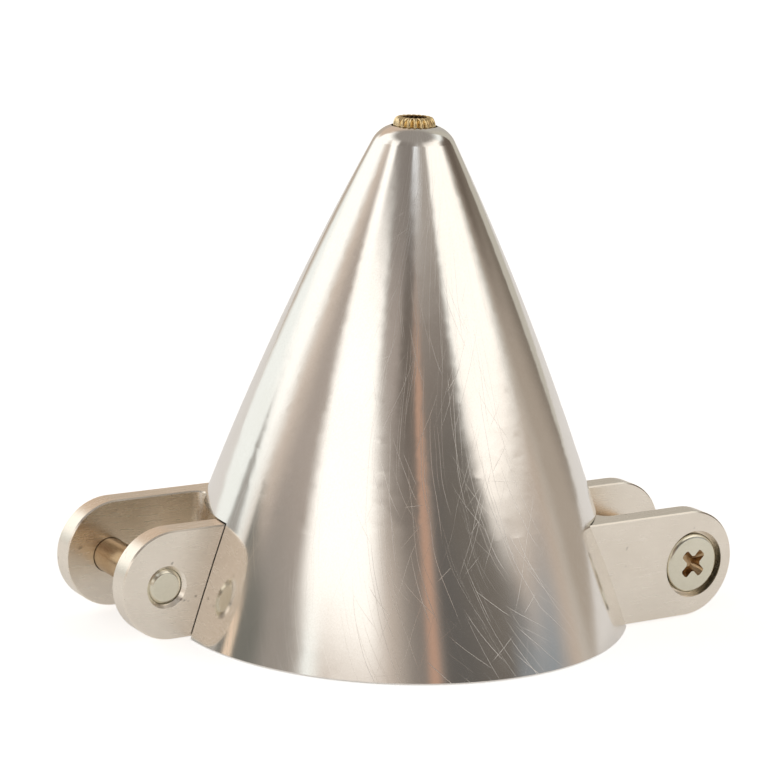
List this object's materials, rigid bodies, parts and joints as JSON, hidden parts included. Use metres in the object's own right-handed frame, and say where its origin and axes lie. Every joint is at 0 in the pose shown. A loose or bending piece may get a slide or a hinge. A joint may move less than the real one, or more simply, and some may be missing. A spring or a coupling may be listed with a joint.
{
  "type": "propeller spinner",
  "caption": "Turned metal spinner cone over an offset-clevis yoke for folding propeller blades, clamped to a motor shaft by a split taper collet.",
  "frame": {"origin": "centre of the cone's rim, in the plane that the rim stands on", "axes": "+Z along the motor shaft towards the nose, +X along the right-hand clevis, which lies in front of the axis (-Y)"},
  "size_m": [0.0524, 0.0399, 0.043],
  "materials": {
    "polished_aluminium": "polished, lightly scratched",
    "milled_aluminium": "satin, milled",
    "plated_steel": "zinc plated",
    "yellow_steel": "yellow passivated"
  },
  "bodies": {
    "root": {"spinner_cone": "polished_aluminium", "blade_yoke": "milled_aluminium", "blade_screw_left": "plated_steel", "blade_screw_right": "plated_steel", "shaft_collet": "milled_aluminium", "clamp_washer": "plated_steel", "clamp_nut": "plated_steel", "nose_screw": "yellow_steel"}
  },
  "joints": []
}
